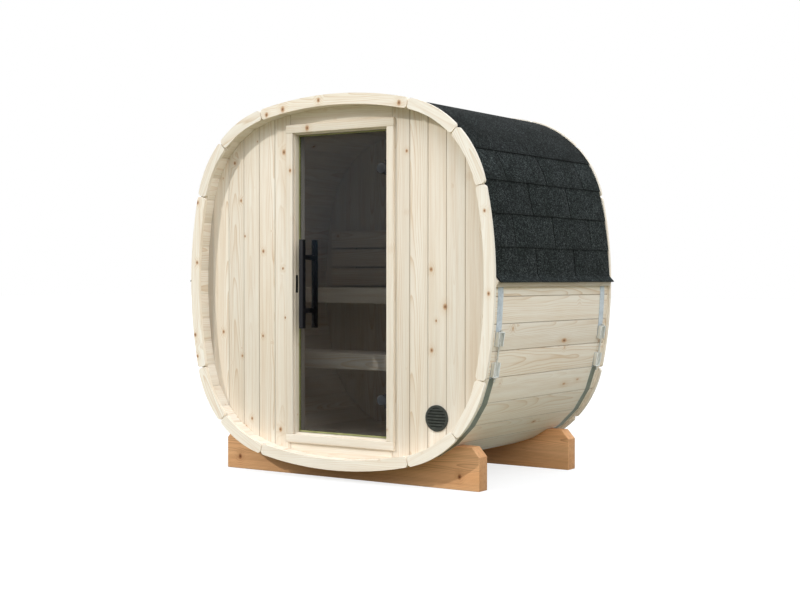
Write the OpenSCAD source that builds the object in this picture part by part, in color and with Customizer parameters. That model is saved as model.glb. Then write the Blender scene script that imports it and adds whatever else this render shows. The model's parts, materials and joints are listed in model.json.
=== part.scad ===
// Barrel sauna of rounded square section: staves held by steel bands on two cradles,
// trim rings round both ends, a framed glass door, a shingled roof and two benches.
// The front faces -Y, and the origin lies on the ground under the middle of the barrel.

/* [Barrel] */
// Width and height over the trim rings
ring_size = 2068; // [1970:2:2200]
// Depth over the trim rings
barrel_depth = 1364; // [1264:2:2200]
// Height of the trim rings' lowest point above the ground
ground_gap = 63; // [50:1:96]
// Radius of the four long sides, at the trim rings' outer edge
side_radius = 2359; // [2200:1:2600]
// Radius of the four corners, at the trim rings' outer edge
corner_radius = 619; // [575:1:680]

/* [Staves] */
// Number of staves round the barrel
stave_count = 48; // [40:4:56]
// Thickness of a stave
stave_t = 45; // [38:1:52]
// Open joint between two staves
stave_joint = 0.4; // [0.2:0.1:0.8]
// Chamfer along the outer edges of a stave
stave_chamfer = 3; // [1:0.5:5]

/* [Trim rings] */
// How far a trim ring stands out past the staves
ring_proud = 14; // [10:1:30]
// Width of a trim ring across its face
ring_w = 60; // [50:1:90]
// Thickness of a trim ring
ring_t = 20; // [16:1:40]
// Opening between two segments of a trim ring
ring_joint = 6; // [2:0.5:10]
// Radius of the rounded corners of a ring segment
ring_corner = 18; // [4:0.5:22]

/* [End walls] */
// Depth of the wall behind the front of the trim ring
wall_recess = 82; // [60:1:120]
// Thickness of an end wall
wall_t = 42; // [34:1:50]
// Width of a wall board
board_w = 116; // [90:1:140]
// Open joint between two boards
board_joint = 0.4; // [0.2:0.1:0.8]
// Chamfer along the outer edges of a wall board
board_chamfer = 3; // [1:0.5:5]

/* [Door frame] */
// Width between the jambs
door_clear_w = 628; // [560:2:680]
// Depth of the head's underside below the trim rings' highest point
head_drop = 201; // [180:1:295]
// Height of the sill's top above the trim rings' lowest point
sill_rise = 182; // [174:1:214]
// Thickness of the jambs, the head and the sill
jamb_t = 34; // [28:1:38]
// Depth of the jambs, from the wall's face inwards
jamb_depth = 86; // [70:1:110]
// Width of the casing boards
casing_w = 47; // [40:1:60]
// Thickness of the casing boards
casing_t = 18; // [14:1:24]
// Strip of the jamb that shows inside the casing
casing_reveal = 9; // [5:1:14]
// Length of the strike plate
strike_h = 100; // [80:1:140]
// Width of the strike plate
strike_w = 20; // [16:1:26]

/* [Glass door] */
// Thickness of the glass
glass_t = 8; // [6:0.5:12]
// Gap between the glass and the jambs
glass_side_gap = 7; // [6.5:0.5:10]
// Gap between the glass and the sill, and the head
glass_end_gap = 5; // [4:0.5:10]
// Depth of the glass behind the wall's face
glass_setback = 28; // [24:1:40]
// Length of the handle bars
handle_h = 500; // [300:10:700]
// Width of the square handle bars
handle_bar = 26; // [20:1:32]
// Distance between the handle's posts
handle_post_gap = 300; // [200:10:440]
// Diameter of the handle's posts
handle_post_d = 20; // [14:1:25]
// Distance of the handle bars' middle from the middle of the glass
handle_stand = 57; // [45:1:70]
// Distance of the handle from the free edge of the glass
handle_inset = 61; // [45:1:120]

/* [Hinges] */
// Height of a hinge
hinge_h = 80; // [60:2:110]
// Diameter of a hinge's barrel
hinge_d = 14; // [12:0.5:15]
// Diameter of a hinge pin
hinge_pin_d = 8; // [6:0.5:9]
// Distance of a hinge's middle from the end of the glass
hinge_inset = 205; // [120:5:400]
// Diameter of the discs that clamp the glass
clamp_d = 57; // [45:1:70]
// Distance of the clamp discs from the edge of the glass
clamp_inset = 43; // [38:1:60]

/* [Vent] */
// Diameter of the vent grille
vent_d = 140; // [132:2:160]
// Diameter of the hole behind the grille
vent_hole_d = 120; // [70:2:124]
// Height of the vent above the trim rings' lowest point
vent_rise = 316; // [294:1:600]
// Least distance of the board that carries the vent from the staves beside it
vent_side_gap = 80; // [40:5:110]
// Number of louvres
louvre_count = 7; // [4:1:10]

/* [Cradles] */
// Length of a cradle
cradle_l = 1736; // [1600:4:1900]
// Thickness of a cradle
cradle_t = 84; // [60:2:110]
// Height of a cradle's ends
cradle_h = 231; // [200:1:260]
// Distance of a cradle from the end of the barrel
cradle_inset = 133; // [127:1:260]
// Width of the sloping cut at a cradle's ends
cradle_cut_w = 46; // [20:1:70]
// Height of the sloping cut at a cradle's ends
cradle_cut_h = 52; // [20:1:80]

/* [Bands] */
// Width of a steel band
band_w = 54; // [40:1:56]
// Thickness of a steel band
band_t = 1.5; // [1:0.1:2]
// Distance of a band's middle from the end of the barrel
band_inset = 91; // [82:1:96]
// Height of the gap between a band's ends
band_gap = 84; // [60:2:120]
// Depth of that gap's middle below the middle of the barrel
band_gap_drop = 368; // [340:2:420]
// Height of a tension bracket
bracket_h = 76; // [50:2:90]
// Thickness of a tension bracket
bracket_t = 3; // [2:0.5:5]
// Height of a tension bracket's sides off the band
bracket_side_h = 22; // [18:1:30]
// Diameter of a tension rod
rod_d = 10; // [8:0.5:12]

/* [Roof] */
// Height of the eave batten's outer edge above the middle of the barrel
eave_rise = 8; // [0:1:30]
// Reach of the eave batten out from the staves
batten_reach = 26; // [16:1:40]
// Reach of the eave batten's foot out from the staves
batten_foot = 15; // [8:1:30]
// Height of the eave batten's outer face
batten_face_h = 30; // [20:1:45]
// Height of the eave batten's sloping top
batten_slope_h = 30; // [15:1:50]
// Number of courses on each side, the uppermost of which reaches the ridge
course_rows = 5; // [3:1:7]
// Length of each lower course of shingles that shows
course_h = 176; // [140:2:220]
// Distance along the roof from the middle of the side to the second course
second_course_run = 184; // [150:2:230]
// Thickness of the shingles at a course's lower edge
course_butt = 8; // [5:0.5:9]
// Thickness of the shingles at a course's upper end
course_top = 4; // [2:0.5:5]
// Length of the first course past the batten's edge
drip_reach = 14; // [4:0.5:24]
// Width of the ridge cap
ridge_w = 300; // [220:5:400]
// Thickness of the ridge cap
ridge_t = 4; // [3:0.5:5]

/* [Benches] */
// Height of the upper bench above the trim rings' lowest point
upper_bench_rise = 999; // [894:1:1074]
// Depth of the upper bench
upper_bench_depth = 538; // [400:2:600]
// Height of the lower bench above the trim rings' lowest point
lower_bench_rise = 617; // [554:1:674]
// How far the lower bench reaches out in front of the upper one
lower_bench_step = 260; // [200:5:320]
// How far the lower bench reaches in under the upper one
lower_bench_tuck = 60; // [40:5:100]
// Thickness of the bench and backrest boards
slat_t = 28; // [22:1:35]
// Gap between two bench boards
slat_gap = 12; // [6:1:20]
// Number of boards of the upper bench
upper_slats = 5; // [4:1:7]
// Number of boards of the lower bench
lower_slats = 3; // [2:1:4]
// Height of the bench fronts
fascia_h = 94; // [70:2:120]
// Width and height of the bench bearers
bearer_size = 45; // [35:1:60]
// Distance of the backrest's ends from the staves
backrest_end_gap = 84; // [10:2:200]
// Height of a backrest board
backrest_board_h = 112; // [90:2:130]
// Number of backrest boards
backrest_boards = 3; // [2:1:4]
// Gap between the bench and the backrest, and between its boards
backrest_gap = 10; // [6:1:20]
// Thickness of the backrest battens
backrest_batten_t = 28; // [20:1:40]

/* [Floor] */
// Height of the floor above the trim rings' lowest point
floor_rise = 137; // [129:1:144]
// Thickness of the floor boards
floor_t = 28; // [22:1:32]
// Width of a floor board
floor_board_w = 110; // [90:2:140]
// Gap between two floor boards
floor_gap = 8; // [4:1:14]
// Number of floor boards
floor_boards_n = 9; // [7:1:9]
// Number of floor bearers
floor_bearers_n = 3; // [2:1:5]

/* [Hidden] */

// Fineness of round shapes
$fn = 48;
// Overrun of cuts past the faces that they cut
over = 10;
// Clearance where one piece is seated on another
seat = 0.3;
// Radial play of a hinge pin
pin_play = 0.05;

// Colours
wood = "#e6d7c0";
timber = "#a98258";
roofing = "#363b3e";
zinc = "#aab4ba";
black = "#1c1c1e";
smoked = [0.22, 0.22, 0.22, 0.5];

// Outline of the barrel: four long arcs joined by four corner arcs that share their tangents
ring_half = ring_size / 2;
barrel_z = ground_gap + ring_half;
y_front = -barrel_depth / 2;
side_back = side_radius - ring_half;
radius_step = side_radius - corner_radius;
corner_at = (sqrt(2 * pow(radius_step, 2) - pow(side_back, 2)) - side_back) / 2;
side_angle = atan2(corner_at, corner_at + side_back);

function degrees_of(arc) = arc * 180 / PI;
function radians_of(angle) = angle * PI / 180;
function off_axis(angle) = angle - round(angle / 90) * 90;
function on_side(angle) = abs(off_axis(angle)) <= side_angle;
function unit(angle) = [cos(angle), sin(angle)];
function arc_centre(angle) =
    on_side(angle) ? -side_back * unit(round(angle / 90) * 90)
                   : corner_at * sqrt(2) * unit(floor(angle / 90) * 90 + 45);
function arc_radius(angle) = on_side(angle) ? side_radius : corner_radius;

// A point of the outline, from the direction it faces and its depth inside the rings' edge
function outline_at(angle, inset) = arc_centre(angle) + (arc_radius(angle) - inset) * unit(angle);

// The direction that the outline faces at a distance along it, counted from the right side
function side_run(inset) = (side_radius - inset) * radians_of(side_angle);
function corner_run(inset) = (corner_radius - inset) * radians_of(90 - 2 * side_angle);
function quarter_run(inset) = 2 * side_run(inset) + corner_run(inset);
function angle_in_quarter(run, inset) =
    run < side_run(inset) ? degrees_of(run / (side_radius - inset))
    : run < side_run(inset) + corner_run(inset)
        ? side_angle + degrees_of((run - side_run(inset)) / (corner_radius - inset))
    : 90 - degrees_of((quarter_run(inset) - run) / (side_radius - inset));
function angle_at(run, inset) =
    let (quarter = floor(run / quarter_run(inset)))
    90 * quarter + angle_in_quarter(run - quarter * quarter_run(inset), inset);

// Staves: one is centred on each axis, and their joints face along the outline's normals
stave_pitch = 4 * quarter_run(ring_proud) / stave_count;
room_inset = ring_proud + stave_t;
side_group_share = 7 / 24;
function joint_angle(i) = angle_at((i + 1 / 2) * stave_pitch, ring_proud);
function stave_edge(i, inset) = outline_at(joint_angle(i), inset);
function stave_outline(inset) = [for (i = [0 : stave_count - 1]) stave_edge(i, inset)];
// Number of quarters from the right side to a stave, and the eighth of the barrel it is in
function stave_quarter(i) = 4 * i / stave_count;
function stave_group(i) =
    let (nearest = round(stave_quarter(i)), off = stave_quarter(i) - nearest)
    abs(off) < side_group_share ? (2 * nearest) % 8
    : (2 * nearest + sign(off) + 8) % 8;
// Distance from the middle to the flat faces of the right side's staves, at a height
function side_face(z, inset) =
    let (
        quarter = ceil(stave_count / 4),
        edges = [for (i = [-quarter : quarter]) stave_edge(i, inset) + [0, barrel_z]],
        k = [for (i = [1 : len(edges) - 1]) if (edges[i - 1][1] <= z && edges[i][1] > z) i][0],
        a = edges[k - 1],
        b = edges[k]
    )
    a[0] + (b[0] - a[0]) * (z - a[1]) / (b[1] - a[1]);
// Distance of the right stave's flat outer face from the middle
stave_face = stave_edge(0, ring_proud)[0];
room_half = stave_edge(0, room_inset)[0];

// End walls and the door's opening
wall_y = y_front + wall_recess;
room_y = wall_y + wall_t;
boards_per_side = ceil(room_half / board_w);
door_half = door_clear_w / 2;
sill_z = ground_gap + sill_rise;
head_z = ground_gap + ring_size - head_drop;
door_clear_h = head_z - sill_z;
rough_half = door_half + jamb_t + seat;
rough_low = sill_z - jamb_t - seat;
rough_high = head_z + jamb_t + seat;
strike_depth = 2;
strike_setback = 3;
vent_z = ground_gap + vent_rise;
vent_board = floor((side_face(vent_z, room_inset) - vent_side_gap) / board_w);
vent_x = (vent_board - 1 / 2) * board_w;
flange_t = 6;
collar_t = 3;
collar_l = 30;
louvre_t = 5;
louvre_angle = 40;
louvre_depth_share = 1.15;

// Glass door and its hinges
glass_half = door_half - glass_side_gap;
glass_low = sill_z + glass_end_gap;
glass_h = door_clear_h - 2 * glass_end_gap;
glass_y = wall_y + glass_setback;
handle_x = handle_inset - glass_half;
handle_z = glass_low + glass_h / 2;
hinge_shift = 1;
hinge_x = door_half - hinge_shift;
hinge_y = wall_y - hinge_d / 2 - hinge_shift;
hinge_heights = [glass_low + hinge_inset, glass_low + glass_h - hinge_inset];
knuckle_share = 0.36;
knuckle_h = hinge_h * knuckle_share;
knuckle_play = 0.5;
leaf_t = 3;
leaf_gap = 2;
arm_t = 6;
arm_h_share = 0.8;
arm_side = 4;
clamp_t = 6;
clamp_x = glass_half - clamp_inset;

// Cradles, bands and tensioners
cradle_y = y_front + cradle_inset;
band_y = y_front + band_inset - band_w / 2;
band_inset_in = ring_proud - seat;
band_inset_out = band_inset_in - band_t;
gap_high = barrel_z - band_gap_drop + band_gap / 2;
gap_low = gap_high - band_gap;
rod_tail = 26;
nut_d = 19;
nut_h = 9;
rod_reach_share = 0.58;

// Roof
roof_under = band_t + 2 * seat;
batten_x = stave_face + roof_under;
eave_z = barrel_z + eave_rise;
batten_edge = [batten_x + batten_reach, eave_z];
batten_peak = [batten_x, eave_z + batten_slope_h];
batten_fall = (batten_edge - batten_peak) / norm(batten_edge - batten_peak);
batten_normal = [-batten_fall[1], batten_fall[0]];
course_step = 44;
roof_inset = ring_proud - roof_under;
roof_half_run = quarter_run(roof_inset);
first_course_run = batten_slope_h + eave_rise;
roof_end_run = roof_half_run - seat;
ridge_steps = 8;

// Benches, backrest and floor
room_depth = barrel_depth - 2 * (wall_recess + wall_t);
room_back = room_y + room_depth;
upper_bench_z = ground_gap + upper_bench_rise;
upper_bench_y = room_back - upper_bench_depth;
lower_bench_z = ground_gap + lower_bench_rise;
lower_bench_y = upper_bench_y - lower_bench_step;
lower_bench_back = upper_bench_y + lower_bench_tuck;
bearer_reach = 70;
backrest_l = 2 * (room_half - backrest_end_gap);
backrest_low = upper_bench_z + backrest_gap;
backrest_h = backrest_boards * backrest_board_h + (backrest_boards - 1) * backrest_gap;
backrest_batten_w = 60;
backrest_batten_shares = [-0.42, 0, 0.42];
floor_z = ground_gap + floor_rise;
floor_w = floor_boards_n * floor_board_w + (floor_boards_n - 1) * floor_gap;
floor_bearer_w = 45;
floor_end_gap = 4;

// Extrudes an outline of the XZ plane from one Y to another
module slab(y0, y1) {
    translate([0, y1, 0])
        rotate([90, 0, 0])
            linear_extrude(height = y1 - y0)
                children();
}

// A box between two corners
module block(low, high) {
    translate(low)
        cube(high - low);
}

// The same piece on the other side
module both_sides() {
    children();
    mirror([1, 0, 0])
        children();
}

// The same piece at the other end
module at_rear() {
    mirror([0, 1, 0])
        children();
}

// The prism that the staves enclose, less a clearance
module room_prism(clear) {
    slab(y_front, -y_front)
        translate([0, barrel_z])
            polygon(stave_outline(room_inset + clear));
}

// Keeps what lies inside the staves
module inside_room() {
    intersection() {
        children();
        room_prism(seat);
    }
}

// One flat stave with mitred sides and a chamfer along both outer edges
module stave(i) {
    outer_a = stave_edge(i - 1, ring_proud);
    outer_b = stave_edge(i, ring_proud);
    inner_a = stave_edge(i - 1, room_inset);
    inner_b = stave_edge(i, room_inset);
    along = (outer_b - outer_a) / norm(outer_b - outer_a);
    side_a = (inner_a - outer_a) / norm(inner_a - outer_a);
    side_b = (inner_b - outer_b) / norm(inner_b - outer_b);
    gap = along * stave_joint / 2;
    slab(y_front + ring_t, -y_front - ring_t)
        translate([0, barrel_z])
            polygon([
                outer_a + gap + along * stave_chamfer,
                outer_b - gap - along * stave_chamfer,
                outer_b - gap + side_b * stave_chamfer,
                inner_b - gap,
                inner_a + gap,
                outer_a + gap + side_a * stave_chamfer
            ]);
}

// The staves of one eighth of the barrel
module staves(group) {
    color(wood)
        for (i = [0 : stave_count - 1])
            if (stave_group(i) == group)
                stave(i);
}

// The straight-sided field that one ring segment fills, between two directions
module segment_field(centre, radius, from, to, gap) {
    inner = radius - ring_w - over;
    outer = radius + over;
    middle = (from + to) / 2;
    polygon([
        centre + inner * unit(from) + gap * unit(from + 90),
        centre + outer * unit(from) + gap * unit(from + 90),
        centre + outer / cos((to - from) / 2) * unit(middle),
        centre + outer * unit(to) - gap * unit(to + 90),
        centre + inner * unit(to) - gap * unit(to + 90)
    ]);
}

// A curved bar of the ring's outline, trimmed on its sides and at its ends
module segment_bar(centre, radius, from, to, trim, gap) {
    intersection() {
        translate(centre)
            difference() {
                circle(r = radius - trim);
                circle(r = radius - ring_w + trim);
            }
        segment_field(centre, radius, from, to, gap);
    }
}

// One ring segment with rounded corners
module ring_segment(from, to) {
    middle = (from + to) / 2;
    centre = arc_centre(middle);
    radius = arc_radius(middle);
    edge = ring_joint / 2;
    segment_bar(centre, radius, from, to, 0, edge + ring_corner);
    segment_bar(centre, radius, from, to, ring_corner, edge);
    for (r = [radius - ring_corner, radius - ring_w + ring_corner]) {
        swing = asin((edge + ring_corner) / r);
        for (angle = [from + swing, to - swing])
            translate(centre + r * unit(angle))
                circle(r = ring_corner);
    }
}

// A trim ring: one segment on each long side and two round each corner
module trim_ring() {
    color(wood)
        slab(y_front, y_front + ring_t)
            translate([0, barrel_z])
                for (quarter = [0 : 3]) {
                    axis = 90 * quarter;
                    ring_segment(axis - side_angle, axis + side_angle);
                    ring_segment(axis + side_angle, axis + 45);
                    ring_segment(axis + 45, axis + 90 - side_angle);
                }
}

// An upright wall board with chamfered front edges, over the barrel's whole height
module wall_board(i) {
    left = i * board_w + board_joint / 2;
    right = (i + 1) * board_w - board_joint / 2;
    translate([0, 0, ground_gap])
        linear_extrude(height = ring_size)
            polygon([
                [left + board_chamfer, wall_y],
                [right - board_chamfer, wall_y],
                [right, wall_y + board_chamfer],
                [right, room_y],
                [left, room_y],
                [left, wall_y + board_chamfer]
            ]);
}

// The wall's boards within a field, each cut to the round of the staves
module wall_boards(x0, x1, z0, z1) {
    for (i = [-boards_per_side : boards_per_side - 1])
        if ((i + 1) * board_w > x0 + board_joint && i * board_w < x1 - board_joint)
            intersection() {
                inside_room()
                    wall_board(i);
                block([x0, wall_y - over, z0], [x1, room_y + over, z1]);
            }
}

module front_wall_side() {
    wall_boards(rough_half, ring_half, ground_gap, ground_gap + ring_size);
}

module front_wall_left() {
    color(wood)
        mirror([1, 0, 0])
            front_wall_side();
}

// The right side of the wall, with the hole for the vent
module front_wall_right() {
    color(wood)
        difference() {
            front_wall_side();
            translate([vent_x, room_y + over, vent_z])
                rotate([90, 0, 0])
                    cylinder(d = vent_hole_d, h = wall_t + 2 * over);
        }
}

// A level board between the wall's two sides, cut to the round of the staves
module level_board(z0, z1) {
    half = rough_half - board_joint;
    color(wood)
        inside_room()
            block([-half, wall_y, z0], [half, room_y, z1]);
}

module front_wall_over_door() {
    level_board(rough_high, ground_gap + ring_size);
}

module front_wall_under_door() {
    level_board(ground_gap, rough_low);
}

module rear_wall() {
    color(wood)
        at_rear()
            wall_boards(-ring_half, ring_half, ground_gap, ground_gap + ring_size);
}

// Jambs over the whole height, with the sill and the head between them
module door_frame() {
    back = wall_y + jamb_depth;
    color(wood) {
        difference() {
            both_sides()
                block([door_half, wall_y, sill_z - jamb_t], [door_half + jamb_t, back, head_z + jamb_t]);
            strike_block(0);
        }
        block([seat - door_half, wall_y, sill_z - jamb_t], [door_half - seat, back, sill_z]);
        block([seat - door_half, wall_y, head_z], [door_half - seat, back, head_z + jamb_t]);
    }
}

// The strike plate, let into the left jamb, and with no clearance its pocket
module strike_block(clear) {
    low = handle_z - strike_h / 2;
    front = wall_y + strike_setback;
    block([-door_half - strike_depth + clear, front + clear, low + clear],
          [-door_half, front + strike_w - clear, low + strike_h - clear]);
}

module strike_plate() {
    color(black)
        strike_block(seat);
}

// Casing boards round the opening, on the wall's face: the upright ones stand between the others
module door_casing() {
    inner = door_half + casing_reveal;
    outer = inner + casing_w;
    low = sill_z - casing_reveal;
    high = head_z + casing_reveal;
    front = wall_y - casing_t;
    color(wood) {
        both_sides()
            block([inner, front, low + seat], [outer, wall_y, high - seat]);
        block([-outer, front, low - casing_w], [outer, wall_y, low]);
        block([-outer, front, high], [outer, wall_y, high + casing_w]);
    }
}

// One fixed hinge half: a leaf on the jamb, two knuckles and the pin
module hinge_leaf(z) {
    translate([0, 0, z]) {
        block([door_half - leaf_t, wall_y + leaf_gap, -hinge_h / 2],
              [door_half, glass_y - leaf_gap, hinge_h / 2]);
        for (side = [-1, 1])
            mirror([0, 0, side < 0 ? 1 : 0]) {
                block([door_half - leaf_t, hinge_y, knuckle_h / 2 + knuckle_play],
                      [door_half, wall_y + leaf_gap, hinge_h / 2]);
                translate([hinge_x, hinge_y, knuckle_h / 2 + knuckle_play])
                    cylinder(d = hinge_d, h = hinge_h / 2 - knuckle_h / 2 - knuckle_play);
            }
        translate([hinge_x, hinge_y, -hinge_h / 2])
            cylinder(d = hinge_pin_d, h = hinge_h);
    }
}

module hinge_leaves() {
    color(black)
        for (z = hinge_heights)
            hinge_leaf(z);
}

// One moving hinge half: the middle knuckle, its arm and the discs that clamp the glass
module hinge_clamp(z) {
    arm_h = knuckle_h * arm_h_share;
    arm_x = hinge_x - hinge_d / 2 - arm_side;
    translate([0, 0, z]) {
        difference() {
            union() {
                translate([hinge_x, hinge_y, -knuckle_h / 2])
                    cylinder(d = hinge_d, h = knuckle_h);
                block([arm_x, hinge_y - arm_t / 2, -arm_h / 2], [hinge_x, hinge_y + arm_t / 2, arm_h / 2]);
                block([arm_x, hinge_y - arm_t / 2, -arm_h / 2], [arm_x + arm_t, glass_y, arm_h / 2]);
                block([clamp_x, glass_y - arm_t, -arm_h / 2], [arm_x + arm_t, glass_y, arm_h / 2]);
                translate([clamp_x, glass_y, 0])
                    rotate([90, 0, 0])
                        cylinder(d = clamp_d, h = clamp_t + arm_side);
            }
            translate([hinge_x, hinge_y, -hinge_h / 2])
                cylinder(d = hinge_pin_d + 2 * pin_play, h = hinge_h);
        }
        translate([clamp_x, glass_y + glass_t + clamp_t, 0])
            rotate([90, 0, 0])
                cylinder(d = clamp_d, h = clamp_t);
    }
}

module hinge_clamps() {
    color(black)
        for (z = hinge_heights)
            hinge_clamp(z);
}

module door_glass() {
    color(smoked)
        block([-glass_half, glass_y, glass_low], [glass_half, glass_y + glass_t, glass_low + glass_h]);
}

// A square handle bar on two round posts, outside the glass
module handle() {
    half = handle_bar / 2;
    stand = handle_stand - glass_t / 2;
    translate([handle_x, 0, handle_z]) {
        block([-half, -stand - half, -handle_h / 2], [half, half - stand, handle_h / 2]);
        for (z = [-handle_post_gap / 2, handle_post_gap / 2])
            translate([0, 0, z])
                rotate([90, 0, 0])
                    cylinder(d = handle_post_d, h = stand);
    }
}

module handle_outside() {
    color(black)
        translate([0, glass_y, 0])
            handle();
}

module handle_inside() {
    color(black)
        translate([0, glass_y + glass_t, 0])
            mirror([0, 1, 0])
                handle();
}

// Round vent: a flange on the wall, a collar in the hole and sloping louvres across it
module vent_grille() {
    collar_d = vent_hole_d - 2 * seat;
    bore_d = collar_d - 2 * collar_t;
    pitch = bore_d / louvre_count;
    depth = pitch * louvre_depth_share;
    color(black)
        translate([vent_x, wall_y, vent_z])
            rotate([90, 0, 0]) {
                difference() {
                    union() {
                        cylinder(d = vent_d, h = flange_t);
                        translate([0, 0, -collar_l])
                            cylinder(d = collar_d, h = collar_l + flange_t);
                    }
                    translate([0, 0, -collar_l - over])
                        cylinder(d = bore_d, h = collar_l + flange_t + 2 * over);
                }
                intersection() {
                    for (i = [0 : louvre_count - 1])
                        translate([0, pitch * (i + 1 / 2) - bore_d / 2, 0])
                            rotate([louvre_angle, 0, 0])
                                cube([vent_hole_d, louvre_t, depth], center = true);
                    translate([0, 0, -collar_l])
                        cylinder(d = bore_d + collar_t, h = collar_l + flange_t);
                }
            }
}

// A cradle: a timber with sloped ends and a seat cut to the staves
module cradle() {
    half = cradle_l / 2;
    color(timber)
        slab(cradle_y, cradle_y + cradle_t)
            difference() {
                polygon([
                    [-half, 0],
                    [half, 0],
                    [half, cradle_h - cradle_cut_h],
                    [half - cradle_cut_w, cradle_h],
                    [cradle_cut_w - half, cradle_h],
                    [-half, cradle_h - cradle_cut_h]
                ]);
                translate([0, barrel_z])
                    polygon(stave_outline(ring_proud - seat));
            }
}

module cradle_front() {
    cradle();
}

module cradle_rear() {
    at_rear()
        cradle();
}

// A steel band round the staves, open on both sides where the tensioners pull it
module band() {
    color(zinc)
        slab(band_y, band_y + band_w)
            difference() {
                translate([0, barrel_z])
                    polygon(stave_outline(band_inset_out));
                translate([0, barrel_z])
                    polygon(stave_outline(band_inset_in));
                translate([-ring_size, gap_low])
                    square([2 * ring_size, band_gap]);
            }
}

module front_band() {
    band();
}

module rear_band() {
    at_rear()
        band();
}

// The line that a tensioner follows beside the band, between the band's two ends
tension_high = [side_face(gap_high, band_inset_out), gap_high];
tension_low = [side_face(gap_low, band_inset_out), gap_low];
tension_lean = atan2(tension_high[0] - tension_low[0], tension_high[1] - tension_low[1]);

// Places a piece on the band's face beside the gap, with Z along the band
module beside_gap(at) {
    translate([at[0], band_y + band_w / 2, at[1]])
        rotate([0, tension_lean, 0])
            children();
}

// A bracket on the band's end: a channel with a closed far end, and a hole there for the rod
module bracket() {
    half = band_w / 2;
    side = bracket_side_h;
    difference() {
        block([seat, -half, 0], [side, half, bracket_h]);
        block([seat + bracket_t, bracket_t - half, -over],
              [side + over, half - bracket_t, bracket_h - bracket_t]);
        translate([side * rod_reach_share, 0, 0])
            cylinder(d = rod_d + 2 * seat, h = bracket_h + over);
    }
}

module band_brackets() {
    color(zinc)
        for (rear = [0, 1])
            mirror([0, rear, 0])
                both_sides() {
                    beside_gap(tension_high)
                        bracket();
                    beside_gap(tension_low)
                        mirror([0, 0, 1])
                            bracket();
                }
}

// A bolt through both brackets, with its head above and a nut below
module tension_rod() {
    top = norm(tension_high - tension_low) + bracket_h + seat;
    low = -bracket_h - seat;
    translate([bracket_side_h * rod_reach_share, 0, 0]) {
        translate([0, 0, low - rod_tail])
            cylinder(d = rod_d, h = top - low + rod_tail + nut_h / 2);
        translate([0, 0, low - nut_h])
            cylinder(d = nut_d, h = nut_h, $fn = 6);
        translate([0, 0, top])
            cylinder(d = nut_d, h = nut_h, $fn = 6);
    }
}

module tension_rods() {
    color(zinc)
        for (rear = [0, 1])
            mirror([0, rear, 0])
                both_sides()
                    beside_gap(tension_low)
                        tension_rod();
}

// The batten that throws the eaves out from the staves
module eave_batten() {
    color(wood)
        slab(y_front + ring_t, -y_front - ring_t)
            polygon([
                [batten_x, eave_z - batten_face_h],
                [batten_x + batten_foot, eave_z - batten_face_h],
                batten_edge,
                batten_peak
            ]);
}

module eave_batten_right() {
    eave_batten();
}

module eave_batten_left() {
    mirror([1, 0, 0])
        eave_batten();
}

// A point of the roof, from a distance along it and a height over its underside
function roof_at(run, height) =
    outline_at(angle_at(run, roof_inset), roof_inset - height) + [0, barrel_z];

// The distance along the roof to a course's lower edge
function course_run(k) = k == 0 ? first_course_run : second_course_run + (k - 1) * course_h;

// The sloping top of one course, from its lower edge up to the next course's or to the ridge
function course_top_line(k) =
    let (
        from = course_run(k),
        to = k == course_rows - 1 ? roof_end_run : course_run(k + 1),
        steps = ceil((to - from) / course_step)
    )
    [for (m = [0 : steps])
        roof_at(from + (to - from) * m / steps, course_butt + (course_top - course_butt) * m / steps)];

// One side of the roof, from the drip edge over the batten up to the ridge
module shingles() {
    drip = batten_edge + batten_fall * drip_reach + batten_normal * seat;
    knee = batten_peak + [0, seat];
    under = [for (i = [0 : stave_count - 1])
        if (stave_edge(i, roof_inset)[1] + barrel_z > batten_peak[1] && stave_edge(i, roof_inset)[0] > 0)
            stave_edge(i, roof_inset) + [0, barrel_z]];
    top = [for (k = [0 : course_rows - 1]) each course_top_line(k)];
    color(roofing)
        slab(y_front + ring_t + seat, -y_front - ring_t - seat)
            polygon(concat(
                [drip + batten_normal * course_butt, drip, knee],
                under,
                [roof_at(roof_end_run, 0)],
                [for (i = [len(top) - 1 : -1 : 0]) top[i]]
            ));
}

module shingles_right() {
    shingles();
}

module shingles_left() {
    mirror([1, 0, 0])
        shingles();
}

// The cap over the ridge, on top of both sides' last courses
module ridge_shingles() {
    half_run = ridge_w / 2;
    low = course_butt + seat;
    function ridge_line(height) =
        [for (m = [-ridge_steps : ridge_steps])
            roof_at(roof_half_run + half_run * m / ridge_steps, height)];
    under = ridge_line(low);
    upper = ridge_line(low + ridge_t);
    color(roofing)
        slab(y_front + ring_t + seat, -y_front - ring_t - seat)
            polygon(concat(under, [for (i = [len(upper) - 1 : -1 : 0]) upper[i]]));
}

// Boards of equal width across a bench, from its front to its back
module bench_boards(y0, y1, top, count) {
    width = (y1 - y0 - (count - 1) * slat_gap) / count;
    color(wood)
        for (i = [0 : count - 1])
            inside_room() {
                front = y0 + i * (width + slat_gap);
                block([-ring_half, front, top - slat_t], [ring_half, front + width, top]);
            }
}

// The upright board along a bench's front edge
module bench_front(y, top) {
    color(wood)
        inside_room()
            block([-ring_half, y, top - fascia_h], [ring_half, y + slat_t, top]);
}

module upper_bench_boards() {
    bench_boards(upper_bench_y + slat_t + seat, room_back - seat, upper_bench_z, upper_slats);
}

module upper_bench_front() {
    bench_front(upper_bench_y, upper_bench_z);
}

module lower_bench_boards() {
    bench_boards(lower_bench_y + slat_t + seat, lower_bench_back, lower_bench_z, lower_slats);
}

module lower_bench_front() {
    bench_front(lower_bench_y, lower_bench_z);
}

// A bearer on the side staves that carries the ends of a bench's boards
module bench_bearer(y0, y1, top) {
    low = top - bearer_size;
    inner = min(side_face(low, room_inset), side_face(top, room_inset)) - bearer_reach;
    both_sides()
        inside_room()
            block([inner, y0, low], [ring_half, y1, top]);
}

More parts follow.
